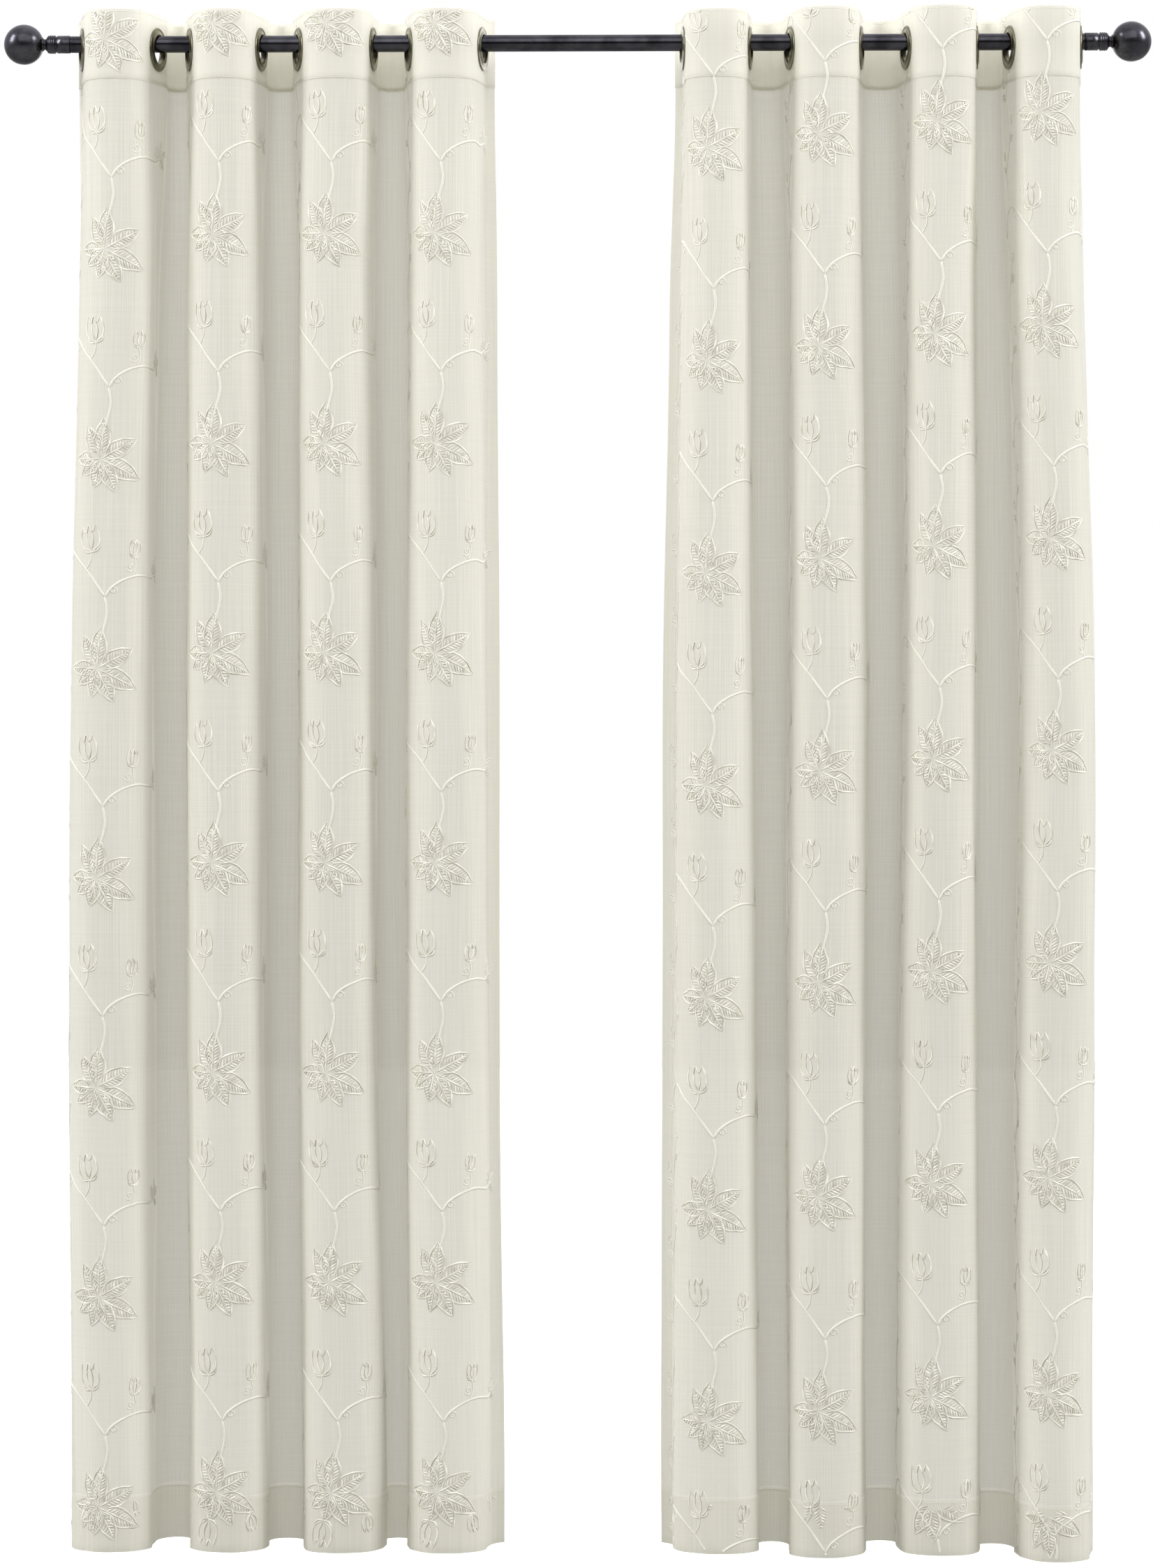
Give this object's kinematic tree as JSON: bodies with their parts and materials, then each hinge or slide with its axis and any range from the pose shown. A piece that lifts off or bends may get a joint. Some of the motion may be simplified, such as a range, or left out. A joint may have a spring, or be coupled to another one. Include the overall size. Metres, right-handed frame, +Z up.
{
  "type": "sheer voile curtain pair on curtain rod",
  "caption": "Pair of long sheer voile curtains with embroidered leaf sprays, hanging in soft folds by metal eyelets from a round rod with ball finials.",
  "frame": {"origin": "on the rod's axis, half way along the rod", "axes": "+Z up, +X along the rod to the right as seen from the room, -Y towards the room"},
  "size_m": [1.6008, 0.1496, 2.1504],
  "materials": {
    "voile": "ivory sheer voile, plain weave, with raised tone-on-tone embroidery",
    "doubled_voile": "the same voile, doubled and stiffened for the heading",
    "dark_bronze": "pressed metal eyelet, plated a dark bronze",
    "dark_pewter": "steel tube and turned ends, plated a dark pewter"
  },
  "bodies": {
    "root": {"rod": "dark_pewter", "collar_left": "dark_pewter", "collar_right": "dark_pewter", "finial_left": "dark_pewter", "finial_right": "dark_pewter", "panel_left": "voile", "heading_left": "doubled_voile", "eyelet_left_1": "dark_bronze", "eyelet_left_2": "dark_bronze", "eyelet_left_3": "dark_bronze", "eyelet_left_4": "dark_bronze", "eyelet_left_5": "dark_bronze", "eyelet_left_6": "dark_bronze", "eyelet_left_7": "dark_bronze", "eyelet_left_8": "dark_bronze", "panel_right": "voile", "heading_right": "doubled_voile", "eyelet_right_1": "dark_bronze", "eyelet_right_2": "dark_bronze", "eyelet_right_3": "dark_bronze", "eyelet_right_4": "dark_bronze", "eyelet_right_5": "dark_bronze", "eyelet_right_6": "dark_bronze", "eyelet_right_7": "dark_bronze", "eyelet_right_8": "dark_bronze"}
  },
  "joints": []
}
